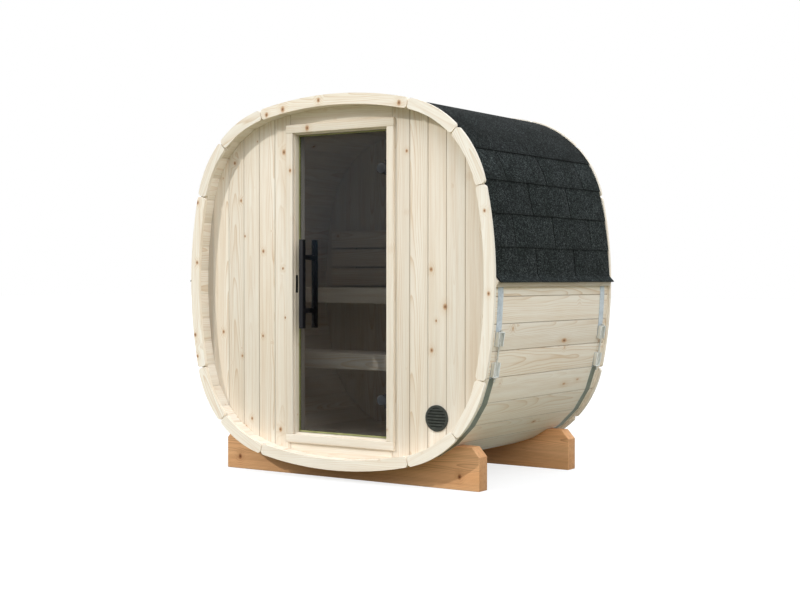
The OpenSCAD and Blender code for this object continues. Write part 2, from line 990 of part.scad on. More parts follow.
module bench_bearers() {
    color(wood) {
        bench_bearer(upper_bench_y + slat_t + seat, room_back - seat, upper_bench_z - slat_t);
        bench_bearer(lower_bench_y + slat_t + seat, lower_bench_back, lower_bench_z - slat_t);
    }
}

// Level boards to lean on, held off the rear wall by battens
module backrest_boards() {
    back = room_back - backrest_batten_t;
    color(wood)
        for (i = [0 : backrest_boards - 1])
            inside_room() {
                z = backrest_low + i * (backrest_board_h + backrest_gap);
                block([-backrest_l / 2, back - slat_t, z], [backrest_l / 2, back, z + backrest_board_h]);
            }
}

module backrest_battens() {
    back = room_back - backrest_batten_t;
    color(wood)
        for (share = backrest_batten_shares) {
            x = backrest_l * share - backrest_batten_w / 2;
            block([x, back, backrest_low], [x + backrest_batten_w, room_back, backrest_low + backrest_h]);
        }
}

// Floor boards along the barrel, on bearers cut to the round of the staves
module floor_boards() {
    color(wood)
        for (i = [0 : floor_boards_n - 1])
            inside_room() {
                x = i * (floor_board_w + floor_gap) - floor_w / 2;
                block([x, room_y + floor_end_gap, floor_z - floor_t],
                      [x + floor_board_w, room_back - floor_end_gap, floor_z]);
            }
}

module floor_bearers() {
    color(wood)
        for (i = [0 : floor_bearers_n - 1])
            inside_room() {
                y = room_y + room_depth * (i + 1 / 2) / floor_bearers_n - floor_bearer_w / 2;
                block([-floor_w / 2, y, ground_gap], [floor_w / 2, y + floor_bearer_w, floor_z - floor_t]);
            }
}

cradle_front();
cradle_rear();
staves(0);  // staves_right
staves(1);  // staves_upper_right
staves(2);  // staves_top
staves(3);  // staves_upper_left
staves(4);  // staves_left
staves(5);  // staves_lower_left
staves(6);  // staves_bottom
staves(7);  // staves_lower_right
trim_ring();  // front_trim_ring
at_rear() trim_ring();  // rear_trim_ring
front_wall_left();
front_wall_right();
front_wall_over_door();
front_wall_under_door();
rear_wall();
door_frame();
door_casing();
strike_plate();
hinge_leaves();
vent_grille();
front_band();
rear_band();
band_brackets();
tension_rods();
eave_batten_right();
eave_batten_left();
shingles_right();
shingles_left();
ridge_shingles();
upper_bench_boards();
upper_bench_front();
lower_bench_boards();
lower_bench_front();
bench_bearers();
backrest_boards();
backrest_battens();
floor_boards();
floor_bearers();
door_glass();
hinge_clamps();
handle_outside();
handle_inside();
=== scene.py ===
# %% [markdown]
# # A barrel sauna, dressed
# The solids give every piece its size and place. This lesson gives them their looks: boards sawn
# from logs, a roof of lapped shingles, zinc bands with their bolts, black fittings and smoked glass.

# %% Load the frame
import json
import math

import bpy
import numpy as np
from mathutils import Matrix, Vector

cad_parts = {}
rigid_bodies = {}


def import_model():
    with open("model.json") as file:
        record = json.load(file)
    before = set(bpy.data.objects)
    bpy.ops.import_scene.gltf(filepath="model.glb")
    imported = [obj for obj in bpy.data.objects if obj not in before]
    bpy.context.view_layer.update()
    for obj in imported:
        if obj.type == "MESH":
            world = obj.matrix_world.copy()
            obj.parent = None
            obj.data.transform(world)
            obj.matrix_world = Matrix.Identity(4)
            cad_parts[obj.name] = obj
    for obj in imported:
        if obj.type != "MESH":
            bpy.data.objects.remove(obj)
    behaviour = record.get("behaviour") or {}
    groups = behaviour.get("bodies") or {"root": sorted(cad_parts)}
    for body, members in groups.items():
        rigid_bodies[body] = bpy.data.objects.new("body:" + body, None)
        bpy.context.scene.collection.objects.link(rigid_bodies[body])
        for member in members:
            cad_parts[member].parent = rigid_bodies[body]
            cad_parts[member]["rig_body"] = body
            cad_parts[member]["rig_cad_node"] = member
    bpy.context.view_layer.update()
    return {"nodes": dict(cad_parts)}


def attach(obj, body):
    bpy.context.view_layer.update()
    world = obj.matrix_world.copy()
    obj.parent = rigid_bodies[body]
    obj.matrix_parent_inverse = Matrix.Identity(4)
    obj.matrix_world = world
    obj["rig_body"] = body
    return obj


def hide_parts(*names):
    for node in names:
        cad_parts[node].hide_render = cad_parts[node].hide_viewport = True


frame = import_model()
nodes = frame["nodes"]
scene = bpy.context.scene
scene.view_settings.view_transform = "Standard"

# %% [markdown]
# ## The camera
# The picture was taken from the right of the door, a little above the middle of the barrel, with a
# long lens. The place and the lens were worked out from the barrel's rings and cradles, so the
# camera is added straight at its place, with no shift.

# %% Camera
CAMERA_AT = (4.6049, -6.8009, 1.1231)
CAMERA_TURN = (math.radians(90 - 0.919), math.radians(-0.03), math.radians(34.136))
LENS, SENSOR_WIDTH, SIGHT = 62.66, 36, 200
bpy.ops.object.camera_add(location=CAMERA_AT, rotation=CAMERA_TURN)
camera = bpy.context.active_object
camera.data.sensor_fit = "HORIZONTAL"
camera.data.sensor_width = SENSOR_WIDTH
camera.data.lens = LENS
camera.data.clip_end = SIGHT
scene.camera = camera
print("camera lens", LENS, "at", CAMERA_AT)

# %% [markdown]
# ## Node helpers
# Every finish below is a small tree of nodes. Helpers keep that short: one adds a node with its
# settings and its inputs, others stand for the sums, noises and blends that come again and again,
# and one starts a material and hands back its surface shader.


# %% Node helpers
def put(tree, socket, value):
    if isinstance(value, bpy.types.NodeSocket):
        tree.links.new(value, socket)
    else:
        socket.default_value = value


def add(tree, kind, inputs=None, **settings):
    made = tree.nodes.new("ShaderNode" + kind)
    for key, value in settings.items():
        setattr(made, key, value)
    for key, value in (inputs or {}).items():
        put(tree, made.inputs[key], value)
    return made


def sums(tree, operation, a, b=0.0, c=0.0):
    return add(tree, "Math", {0: a, 1: b, 2: c}, operation=operation).outputs[0]


def stretch(tree, vector, factors):
    return add(tree, "VectorMath", {0: vector, 1: factors}, operation="MULTIPLY").outputs[0]


def coordinate(tree, kind="Object"):
    return add(tree, "TexCoord").outputs[kind]


def one_axis(tree, vector, axis):
    return add(tree, "SeparateXYZ", {0: vector}).outputs[axis]


def one_channel(tree, colour, channel):
    return add(tree, "SeparateColor", {0: colour}).outputs[channel]


def fade(tree, value, start, end, low=0.0, high=1.0):
    spread = {"Value": value, "From Min": start, "From Max": end, "To Min": low, "To Max": high}
    return add(tree, "MapRange", spread, interpolation_type="SMOOTHSTEP").outputs[0]


def grain_noise(tree, vector, scale, detail=2.0, roughness=0.5):
    inputs = {"Vector": vector, "Scale": scale, "Detail": detail, "Roughness": roughness}
    return add(tree, "TexNoise", inputs).outputs[0]


def relief(tree, height, strength, distance):
    inputs = {"Height": height, "Strength": strength, "Distance": distance}
    return add(tree, "Bump", inputs).outputs[0]


def blend_colour(tree, share, first, second, blend_type="MIX"):
    mixed = add(tree, "Mix", data_type="RGBA", blend_type=blend_type)
    for place, value in (("Factor_Float", share), ("A_Color", first), ("B_Color", second)):
        put(tree, next(s for s in mixed.inputs if s.identifier == place), value)
    return next(s for s in mixed.outputs if s.identifier == "Result_Color")


def darken(tree, colour, level):
    grey = add(tree, "CombineColor", {0: level, 1: level, 2: level}).outputs[0]
    return blend_colour(tree, 1.0, colour, grey, "MULTIPLY")


def start_material(name):
    material = bpy.data.materials.new(name)
    material.use_nodes = True
    tree = material.node_tree
    return material, tree, tree.nodes["Principled BSDF"]


def feed(tree, shader, **sockets):
    for key, value in sockets.items():
        put(tree, shader.inputs[key.replace("_", " ")], value)


def screen(red, green, blue):
    """A colour as a screen shows it, 0 to 255, as the linear colour that the nodes use."""
    shares = [v / 255 for v in (red, green, blue)]
    return (*[s / 12.92 if s <= 0.04045 else ((s + 0.055) / 1.055) ** 2.4 for s in shares], 1)


def two_tone(tree, noise, start, end, dark, light):
    return blend_colour(tree, fade(tree, noise, start, end), screen(*dark), screen(*light))


print("a screen's middle grey is", [round(v, 3) for v in screen(128, 128, 128)])

# %% [markdown]
# ## The studio
# The object stands on plain paper. Soft light falls from a sky that is bright overhead and weak at
# the horizon. A small lamp from the upper left draws the ring's shadow on the front wall, and a wide
# soft one from the right lifts the staves. What the camera, a mirror or the glass sees behind the
# object is plain white: sky and paper tell such rays from those that light it. The paper throws back
# less light than the sky sends, so the barrel darkens towards its underside.

# %% Studio
HORIZON, ZENITH = 0.18, 1.53
SKY_LOW, SKY_HIGH = -0.1, 0.9
SKY_TINT, LAMP_TINT, WHITE = (0.925, 0.985, 1.07, 1), (1.0, 0.972, 0.905), (1, 1, 1, 1)
KEY_TRAVEL, KEY_LEVEL, KEY_SPREAD = Vector((0.48, 0.68, -0.55)), 1.34, 0.6
SIDE_TRAVEL, SIDE_LEVEL, SIDE_SPREAD = Vector((-0.75, 0.35, -0.55)), 1.05, 50
LAMPS = ((KEY_TRAVEL, KEY_LEVEL, KEY_SPREAD), (SIDE_TRAVEL, SIDE_LEVEL, SIDE_SPREAD))
PAPER, PAPER_SEEN, PAPER_GLOW, PAPER_SIZE = (0.21, 0.20, 0.12, 1), (0.28, 0.28, 0.28, 1), 0.76, 120


def seeing_rays(tree):
    """1 for rays by which the camera, a mirror or the glass sees, and 0 for those that light."""
    rays = add(tree, "LightPath").outputs
    seen = sums(tree, "MAXIMUM", rays["Is Camera Ray"], rays["Is Glossy Ray"])
    return sums(tree, "MAXIMUM", seen, rays["Is Transmission Ray"])


world = bpy.data.worlds.new("studio")
scene.world = world
world.use_nodes = True
tree = world.node_tree
seen = seeing_rays(tree)
upward = one_axis(tree, coordinate(tree, "Generated"), 2)
fill = fade(tree, upward, SKY_LOW, SKY_HIGH)
fill = sums(tree, "MULTIPLY_ADD", fill, ZENITH - HORIZON, HORIZON)
strength = sums(tree, "MULTIPLY_ADD", seen, sums(tree, "SUBTRACT", 1.0, fill), fill)
sky = blend_colour(tree, seen, SKY_TINT, WHITE)
feed(tree, tree.nodes["Background"], Color=sky, Strength=strength)

for travel, level, spread in LAMPS:
    bpy.ops.object.light_add(type="SUN", rotation=travel.to_track_quat("-Z", "Y").to_euler())
    lamp = bpy.context.active_object.data
    lamp.energy = level
    lamp.angle = math.radians(spread)
    lamp.color = LAMP_TINT

bpy.ops.mesh.primitive_plane_add(size=PAPER_SIZE)
floor = bpy.context.active_object
floor.name = "studio_floor"
material, tree, _ = start_material("studio_floor")
paper = add(tree, "BsdfDiffuse", {"Color": PAPER})
lit = add(tree, "BsdfDiffuse", {"Color": PAPER_SEEN})
glow = add(tree, "Emission", {"Color": WHITE, "Strength": PAPER_GLOW})
shown = add(tree, "AddShader", {0: lit.outputs[0], 1: glow.outputs[0]})
surface = add(tree, "MixShader", {0: seeing_rays(tree), 1: paper.outputs[0], 2: shown.outputs[0]})
tree.links.new(surface.outputs[0], tree.nodes["Material Output"].inputs["Surface"])
floor.data.materials.append(material)
print("sky", HORIZON, ZENITH, "lamps", KEY_LEVEL, SIDE_LEVEL)

# %% [markdown]
# ## Softened copies of the solids
# A real board has no knife-sharp edge, and light catches on the small round that a plane leaves.
# The solids could carry those rounds, but then every one would cost the part's source a feature.
# Here a copy of a solid is merged, its flat faces are made whole, and a bevel rounds its edges.

# %% Softened copies
MERGE, FLAT, SHARP = 1e-5, math.radians(0.2), math.radians(35)


def alone(piece):
    bpy.ops.object.select_all(action="DESELECT")
    piece.select_set(True)
    bpy.context.view_layer.objects.active = piece


def new_piece(primitive, **settings):
    bpy.ops.object.select_all(action="DESELECT")
    primitive(**settings)
    return bpy.context.active_object


def apply_modifier(piece, kind, **settings):
    alone(piece)
    modifier = piece.modifiers.new(kind.lower(), kind)
    for key, value in settings.items():
        setattr(modifier, key, value)
    bpy.ops.object.modifier_apply(modifier=modifier.name)


def soften(piece, width, segments=2):
    apply_modifier(piece, "BEVEL", width=width, segments=segments, limit_method="ANGLE",
                   angle_limit=SHARP)
    alone(piece)
    bpy.ops.object.shade_smooth_by_angle(angle=SHARP)


def settle(piece, body, slot, *stands_for):
    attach(piece, body)
    if stands_for:
        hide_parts(*stands_for)
    return piece


def softened_copy(node, ending, width, segments=2):
    alone(nodes[node])
    bpy.ops.object.duplicate()
    piece = bpy.context.active_object
    piece.name = piece.data.name = f"{node}_{ending}"
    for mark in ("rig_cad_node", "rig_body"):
        del piece[mark]
    piece.parent = None
    bpy.ops.object.mode_set(mode="EDIT")
    bpy.ops.mesh.select_all(action="SELECT")
    bpy.ops.mesh.customdata_custom_splitnormals_clear()
    bpy.ops.mesh.remove_doubles(threshold=MERGE)
    bpy.ops.mesh.dissolve_limited(angle_limit=FLAT)
    bpy.ops.object.mode_set(mode="OBJECT")
    soften(piece, width, segments)
    piece.data.materials.clear()
    return piece


print("edges are rounded from", round(math.degrees(SHARP)), "degrees")

# %% [markdown]
# ## Boards sawn from logs
# Spruce shows its growth rings as streaks along a board, as nested arches where the saw cut across
# them, and as arcs on the ends. A pattern painted on each face would break at the edges. So each
# board gets its own place in an imagined log: its points carry how far they lie along the log and
# to both sides of its heart. The finish then draws the rings round the heart, through the board.
# The narrow faces along a board's long edges are marked too, because a joint looks dark, and less
# so indoors.

# %% Boards in their logs
BARREL_MIDDLE = np.array((0, 0, 1.097))
INDOORS = 0.3
JOINT_SIDEWAYS, JOINT_OUTWARDS = 0.25, 0.10
HEART_SIDE, HEART_DEEP, LEAN, LOG_LENGTH = (-0.085, 0.085), (0.025, 0.120), (0.006, 0.030), 40


def read(items, name, width=1, kind=float):
    values = np.empty(len(items) * width, kind)
    items.foreach_get(name, values)
    return values.reshape(-1, width) if width > 1 else values


def boards_of(mesh):
    """The number of the board that each point belongs to."""
    first, second = read(mesh.edges, "vertices", 2, int).T
    label = np.arange(len(mesh.vertices))
    while True:
        before = label.copy()
        low = np.minimum(label[first], label[second])
        np.minimum.at(label, first, low)
        np.minimum.at(label, second, low)
        label = label[label]
        if (label == before).all():
            return np.unique(label, return_inverse=True)[1]


def board_axes(points, turned):
    """The directions along a board, across it and through it."""
    axes = np.eye(3)
    spread = points.max(0) - points.min(0)
    along = axes[1] if turned else axes[int(np.argmax(spread))]
    rest = [axis for axis in axes if not np.array_equal(axis, along)]
    flat = np.stack([(points - points.mean(0)) @ axis for axis in rest])
    directions = np.linalg.eigh(flat @ flat.T)[1].T
    wide, thin = (d[0] * rest[0] + d[1] * rest[1] for d in directions[::-1])
    wide, thin = (d * np.sign(d[np.argmax(np.abs(d))]) for d in (wide, thin))
    return (wide, thin, along) if turned else (along, wide, thin)


def saw(piece, seed, turned=False):
    """Gives each board of a piece its place in a log, and marks the faces at its joints."""
    mesh = piece.data
    places, board = read(mesh.vertices, "co", 3), boards_of(mesh)
    normals, middles = (read(mesh.polygons, name, 3) for name in ("normal", "center"))
    corners = read(mesh.loops, "vertex_index", kind=int)
    face_board = board[corners[read(mesh.polygons, "loop_start", kind=int)]]
    outside = ((middles - BARREL_MIDDLE) * normals).sum(1) > 0
    luck = np.random.default_rng(seed)
    log, tone, groove = np.zeros_like(places), np.zeros(len(places)), np.zeros(len(normals))
    for number in range(board.max() + 1):
        chosen, faces = board == number, face_board == number
        points = places[chosen]
        axes = board_axes(points, turned)
        along, across, through = (points @ axis for axis in axes)
        sideways, outwards = (np.abs(normals[faces] @ axis) for axis in axes[1:])
        at_joint = (sideways > JOINT_SIDEWAYS) & (outwards > JOINT_OUTWARDS)
        groove[faces] = at_joint * np.where(outside[faces], 1, INDOORS)
        heart_side, heart_deep = luck.uniform(*HEART_SIDE), luck.uniform(*HEART_DEEP)
        lean = luck.uniform(*LEAN) * luck.choice([-1, 1])
        log[chosen, 0] = along + luck.uniform(0, LOG_LENGTH)
        log[chosen, 1] = across - across.mean() - heart_side
        log[chosen, 2] = through - through.mean() + heart_deep + lean * (along - along.mean())
        tone[chosen] = luck.uniform()
    mesh.attributes.new("log", "FLOAT_VECTOR", "POINT").data.foreach_set("vector", log.ravel())
    mesh.attributes.new("board", "FLOAT", "POINT").data.foreach_set("value", tone)
    mesh.attributes.new("groove", "FLOAT", "FACE").data.foreach_set("value", groove)
    return board.max() + 1


print("the heart lies", HEART_DEEP, "m behind a board")

# %% [markdown]
# ## Knots
# A knot is where a branch grew. Knots that the picture shows are set at their own places, and the
# rest fall by chance: the log is divided into cells, and a few of them hold a knot, a large one or
# one like a pin's head. The finish needs to know how far a point lies from the nearest knot, counted
# in knot radii, with a ragged edge.

# %% Knots
KNOT_CELL, KNOT_SPREAD, LEAST_KNOT = 0.15, 0.075, 0.001
PIN_CELL, PIN_SPREAD, PIN_LUCK, PIN_SHAPE = 0.07, 0.055, 0.28, (0.8, 1, 1)
MARK_DEEP, MARK_TALL = 3, 0.8
RAGGED_SCALE, RAGGED_SHARE = 180, 0.5


def chance_knots(tree, vector, cell, dice, luck, spread):
    cells = add(tree, "TexVoronoi", {"Vector": vector, "Scale": 1 / cell}).outputs
    chance = one_channel(tree, cells["Color"], dice)
    size = sums(tree, "ADD", fade(tree, chance, 1 - luck, 1, 0.0, spread), LEAST_KNOT)
    return sums(tree, "DIVIDE", cells["Distance"], size)


def knot_distance(tree, log, place, marks, luck):
    near = chance_knots(tree, log, KNOT_CELL, 0, luck, KNOT_SPREAD)
    pin_log = stretch(tree, log, PIN_SHAPE)
    pins = chance_knots(tree, pin_log, PIN_CELL, 2, PIN_LUCK, PIN_SPREAD)
    near = sums(tree, "MINIMUM", near, pins)
    for x, y, z, radius in marks:
        flat = stretch(tree, place, (1 / radius, 1 / (radius * MARK_DEEP), MARK_TALL / radius))
        centre = (x / radius, y / (radius * MARK_DEEP), MARK_TALL * z / radius)
        gap = add(tree, "VectorMath", {0: flat, 1: centre}, operation="DISTANCE").outputs["Value"]
        near = sums(tree, "MINIMUM", near, gap)
    ragged = grain_noise(tree, place, RAGGED_SCALE)
    return sums(tree, "MULTIPLY_ADD", ragged, RAGGED_SHARE, near)


print("one cell for a knot is", KNOT_CELL, "m wide")

# %% [markdown]
# ## The wood finish
# Planed spruce is pale cream with slightly darker late wood, fine fibres, and orange-brown knots that
# the rings bend round. Rings come from a point's distance to the heart of its log, and fibres, streaks
# and clouds are noises stretched along the log. The same tree of nodes serves the stained cradle timber
# with other colours. Joints and sawn ends are tinted last, and wood behind the glass gets a painted
# shade.

# %% Wood finish
RING_GAP, LATE_POWER, LATE_END = 0.0070, 4.0, 0.93
WAVER_SHAPE, WAVER_REACH, KNOT_BEND = (1.6, 7, 7), 0.030, 0.011
FIBRE_SHAPE, STREAK_SHAPE, CLOUD_SHAPE = (7, 380, 380), (0.9, 48, 48), (1.3, 9, 9)
KNOT_ZONES = ((1.65, 0.85), (0.95, 0.45), (4.5, 0.8))
LATE_SHARE, STREAK_SHARE, FIBRE_SHARE, HALO_SHARE = 0.75, 0.26, 0.14, 0.22
CLOUD_SHARE, KNOT_SHARE = 0.55, 0.85
FIGURE_DICE, FIGURE_LEAST = 7.3, 0.30
BOARD_SWING, BOARD_DARKEST = 0.09, 0.945
# Painted shade behind the glass: where it starts and ends along Y, and its darker, cooler tint.
INDOOR_SHADE_FROM, INDOOR_SHADE_TO = -0.568, -0.560
JOINT_TINT, END_TINT, INDOOR_SHADE_TINT = screen(110, 88, 62), screen(226, 222, 218), screen(210, 212, 219)


def late_wood(tree, log, halo):
    """The dark end of each year's ring, wavering, and bent round the knots."""
    waver = grain_noise(tree, stretch(tree, log, WAVER_SHAPE), 1.0)
    from_heart = stretch(tree, log, (0, 1, 1))
    girth = add(tree, "VectorMath", {0: from_heart}, operation="LENGTH").outputs["Value"]
    girth = sums(tree, "MULTIPLY_ADD", waver, WAVER_REACH, girth)
    girth = sums(tree, "MULTIPLY_ADD", halo, KNOT_BEND, girth)
    year = sums(tree, "FRACT", sums(tree, "DIVIDE", girth, RING_GAP))
    return sums(tree, "MULTIPLY", sums(tree, "POWER", year, LATE_POWER), fade(tree, year, 1.0, LATE_END))


def wood_finish(name, pale, deep, warm, knot, rim, knot_luck, marks=(), contrast=1.0, joint=0.0,
                ends=False, shaded_indoors=False):
    material, tree, shader = start_material(name)
    log = add(tree, "Attribute", attribute_name="log").outputs["Vector"]
    board = add(tree, "Attribute", attribute_name="board").outputs["Fac"]
    groove = add(tree, "Attribute", attribute_name="groove").outputs["Fac"]
    place = coordinate(tree)
    near = knot_distance(tree, log, place, marks, knot_luck)
    inside, core, halo = (fade(tree, near, far, close) for far, close in KNOT_ZONES)
    late = late_wood(tree, log, halo)
    figure = sums(tree, "FRACT", sums(tree, "MULTIPLY", board, FIGURE_DICE))
    figure = fade(tree, figure, 0.1, 0.95, FIGURE_LEAST, 1.0)
    fibre = grain_noise(tree, stretch(tree, log, FIBRE_SHAPE), 1.0, 2, 0.6)
    streak = grain_noise(tree, stretch(tree, log, STREAK_SHAPE), 1.0, 3, 0.6)
    cloud = grain_noise(tree, stretch(tree, log, CLOUD_SHAPE), 1.0)

    depth = sums(tree, "MULTIPLY", sums(tree, "MULTIPLY", late, figure), LATE_SHARE * contrast)
    depth = sums(tree, "MULTIPLY_ADD", fade(tree, streak, 0.35, 0.75), STREAK_SHARE * contrast, depth)
    depth = sums(tree, "MULTIPLY_ADD", fade(tree, fibre, 0.3, 0.8), FIBRE_SHARE * contrast, depth)
    depth = sums(tree, "MULTIPLY_ADD", halo, HALO_SHARE, depth)
    colour = blend_colour(tree, depth, pale, deep)
    cloudy = sums(tree, "MULTIPLY", fade(tree, cloud, 0.35, 0.75), CLOUD_SHARE)
    colour = blend_colour(tree, cloudy, colour, warm, "MULTIPLY")
    colour = darken(tree, colour, sums(tree, "MULTIPLY_ADD", board, BOARD_SWING, BOARD_DARKEST))
    colour = blend_colour(tree, sums(tree, "MULTIPLY", inside, KNOT_SHARE), colour, knot)
    colour = blend_colour(tree, sums(tree, "MULTIPLY", core, KNOT_SHARE), colour, rim)
    if joint:
        colour = blend_colour(tree, sums(tree, "MULTIPLY", groove, joint), colour, JOINT_TINT)
    if ends:
        facing = one_axis(tree, coordinate(tree, "Normal"), 0)
        facing = fade(tree, sums(tree, "ABSOLUTE", facing), 0.80, 0.95)
        colour = blend_colour(tree, facing, colour, END_TINT, "MULTIPLY")
    # Painted shade: wood behind the plane of the pane is darkened and cooled.
    if shaded_indoors:
        indoor_shade = fade(tree, one_axis(tree, place, 1), INDOOR_SHADE_FROM, INDOOR_SHADE_TO)
        colour = blend_colour(tree, indoor_shade, colour, INDOOR_SHADE_TINT, "MULTIPLY")

    height = sums(tree, "MULTIPLY_ADD", fibre, 0.6, sums(tree, "MULTIPLY", late, 0.7))
    height = sums(tree, "MULTIPLY_ADD", inside, -0.8, height)
    rough = sums(tree, "MULTIPLY_ADD", fibre, 0.18, 0.50)
    feed(tree, shader, Base_Color=colour, Roughness=rough, Normal=relief(tree, height, 0.35, 0.0006),
         Specular_IOR_Level=0.25)
    return material


print("a ring every", RING_GAP, "m")

# %% [markdown]
# ## Kinds of wood
# Walls, door frame, rings, staves and benches are one spruce with few or many knots. The rings are
# paler, because their edges stand in the light. The cradles are stained. Each list gives the knots
# that the picture shows on one kind of piece: a place on its front, in metres, and a radius.

# %% Kinds of wood
WALL_Y, CASING_Y, RING_Y, CRADLE_Y = -0.600, -0.618, -0.682, -0.549
WALL_KNOTS = [(x, WALL_Y, z, radius) for x, z, radius in (
    (-0.398, 1.837, 0.012), (-0.718, 1.571, 0.008), (-0.550, 1.275, 0.009), (-0.406, 1.175, 0.007),
    (-0.765, 1.791, 0.009), (0.600, 1.167, 0.010), (0.688, 0.970, 0.013), (0.632, 0.895, 0.006),
    (0.604, 0.738, 0.010), (0.444, 1.802, 0.008), (-0.424, 0.255, 0.011), (-0.681, 0.252, 0.010),
    (-0.853, 0.804, 0.009), (-0.710, 0.667, 0.007), (-0.553, 0.787, 0.007), (-0.389, 0.895, 0.006),
    (-0.636, 0.306, 0.008), (-0.688, 1.364, 0.006))]
FRAME_KNOTS = [(-0.339, CASING_Y, 1.729, 0.009), (-0.217, CASING_Y, 1.962, 0.013)]
RING_KNOTS = [(x, RING_Y, z, radius) for x, z, radius in (
    (-0.458, 2.045, 0.011), (-0.341, 2.068, 0.013), (-0.982, 1.564, 0.010), (-0.987, 1.211, 0.009),
    (0.976, 1.465, 0.008), (1.001, 1.042, 0.009), (-0.089, 2.101, 0.010), (0.449, 2.051, 0.012),
    (-1.003, 0.785, 0.010), (-0.985, 0.660, 0.008))]
STAVE_KNOTS = [(0.997, 0.158, 0.773, 0.010), (0.812, 0.147, 0.305, 0.009),
               (0.944, 0.264, 0.519, 0.007), (0.949, 0.422, 0.535, 0.006)]
CRADLE_KNOTS = [(-0.770, CRADLE_Y, 0.071, 0.012), (0.747, CRADLE_Y, 0.071, 0.011)]
SPRUCE = {"pale": screen(242, 235, 223), "deep": screen(207, 177, 142), "warm": screen(251, 246, 239),
          "knot": screen(196, 152, 110), "rim": screen(112, 74, 48)}
BRIGHT = {**SPRUCE, "pale": screen(249, 243, 232), "deep": screen(216, 188, 154)}
STAIN = {"pale": screen(238, 187, 138), "deep": screen(174, 121, 79), "warm": screen(247, 230, 212),
         "knot": screen(150, 92, 52), "rim": screen(88, 52, 30)}
wall_wood = wood_finish("spruce_wall", **SPRUCE, marks=WALL_KNOTS, knot_luck=0.16, joint=0.36)
# The door frame's wood behind the glass gets the painted shade.
frame_wood = wood_finish("spruce_frame", **SPRUCE, marks=FRAME_KNOTS, knot_luck=0.12, shaded_indoors=True)
ring_wood = wood_finish("spruce_ring", **BRIGHT, marks=RING_KNOTS, knot_luck=0.12)
stave_wood = wood_finish("spruce_staves", **SPRUCE, marks=STAVE_KNOTS, knot_luck=0.30, joint=0.34)
bench_wood = wood_finish("spruce_bench", **SPRUCE, knot_luck=0.10)
cradle_wood = wood_finish("stained_timber", **STAIN, marks=CRADLE_KNOTS, knot_luck=0.45,
                          contrast=1.15, ends=True)
woods = (wall_wood, frame_wood, ring_wood, stave_wood, bench_wood, cradle_wood)
print("wood finishes", [wood.name for wood in woods])

# %% [markdown]
# ## Planed boards
# Staves, walls, rings, casings, benches, floor and cradles are all timber: the same softened copy
# serves them, with a round that suits each one's use. A ring is cut from short planks set at angles,
# so its boards are measured in the plane of the ring.

# %% Planed boards
STAVES = [f"staves_{side}" for side in ("right", "upper_right", "top", "upper_left", "left",
                                        "lower_left", "bottom", "lower_right")]
WALLS = ["front_wall_left", "front_wall_right", "front_wall_over_door", "front_wall_under_door",
         "rear_wall"]
RINGS = ["front_trim_ring", "rear_trim_ring"]
BATTENS = ["eave_batten_right", "eave_batten_left"]
BENCHES = ["upper_bench_boards", "upper_bench_front", "lower_bench_boards", "lower_bench_front",
           "backrest_boards"]
PLAIN = ["bench_bearers", "backrest_battens", "floor_boards", "floor_bearers"]
CRADLES = ["cradle_front", "cradle_rear"]
PLANED = [(STAVES, 0.0011, 2, stave_wood, "pale_wood"),
          (WALLS, 0.0014, 2, wall_wood, "pale_wood"),
          (["door_frame"], 0.0015, 2, frame_wood, "pale_wood"),
          (["door_casing"], 0.0025, 3, frame_wood, "pale_wood"),
          (RINGS, 0.0062, 3, ring_wood, "pale_wood"),
          (BATTENS, 0.0015, 2, stave_wood, "pale_wood"),
          (BENCHES, 0.0040, 3, bench_wood, "pale_wood"),
          (PLAIN, 0.0020, 2, bench_wood, "pale_wood"),
          (CRADLES, 0.0040, 3, cradle_wood, "cradle_timber")]
count, seed = 0, 11
for group, width, segments, finish, slot in PLANED:
    for node in group:
        piece = softened_copy(node, "planed", width, segments)
        count += saw(piece, seed, turned=node in RINGS)
        seed += 1
        piece.data.materials.append(finish)
        settle(piece, "cabin", slot, node)
print("boards", count)

# %% [markdown]
# ## The roof's curve
# The shingles follow the barrel: four long flat arcs joined by four tight ones. A shingle is made
# flat, as it comes from the pack, and is then laid on that curve. For that the curve has to be
# known as a place for each length run along it, counted from the middle of the right side.

# %% Roof curve
RING_HALF, SIDE_RADIUS, CORNER_RADIUS, BARREL_Z = 1.034, 2.359, 0.619, 1.097
SIDE_BACK = SIDE_RADIUS - RING_HALF
RADIUS_STEP = SIDE_RADIUS - CORNER_RADIUS
CORNER_AT = (math.sqrt(2 * RADIUS_STEP**2 - SIDE_BACK**2) - SIDE_BACK) / 2
SIDE_ANGLE = math.atan2(CORNER_AT, CORNER_AT + SIDE_BACK)
ROOF_INSET = 0.0119
SIDE_RUN = (SIDE_RADIUS - ROOF_INSET) * SIDE_ANGLE
CORNER_RUN = (CORNER_RADIUS - ROOF_INSET) * (math.pi / 2 - 2 * SIDE_ANGLE)
ROOF_HALF_RUN = 2 * SIDE_RUN + CORNER_RUN


def roof_point(run, height):
    """Place (x, z) on the right half of the roof, and over the ridge on the left half."""
    if run > ROOF_HALF_RUN:
        x, z = roof_point(2 * ROOF_HALF_RUN - run, height)
        return -x, z
    if run < SIDE_RUN:
        angle, centre, radius = run / (SIDE_RADIUS - ROOF_INSET), (-SIDE_BACK, 0), SIDE_RADIUS
    elif run < SIDE_RUN + CORNER_RUN:
        angle = SIDE_ANGLE + (run - SIDE_RUN) / (CORNER_RADIUS - ROOF_INSET)
        centre, radius = (CORNER_AT, CORNER_AT), CORNER_RADIUS
    else:
        angle = math.pi / 2 - (ROOF_HALF_RUN - run) / (SIDE_RADIUS - ROOF_INSET)
        centre, radius = (0, -SIDE_BACK), SIDE_RADIUS
    reach = radius + height - ROOF_INSET
    return centre[0] + reach * math.cos(angle), BARREL_Z + centre[1] + reach * math.sin(angle)


print("roof run to the ridge", round(ROOF_HALF_RUN, 3), "top", round(roof_point(ROOF_HALF_RUN, 0)[1], 3))
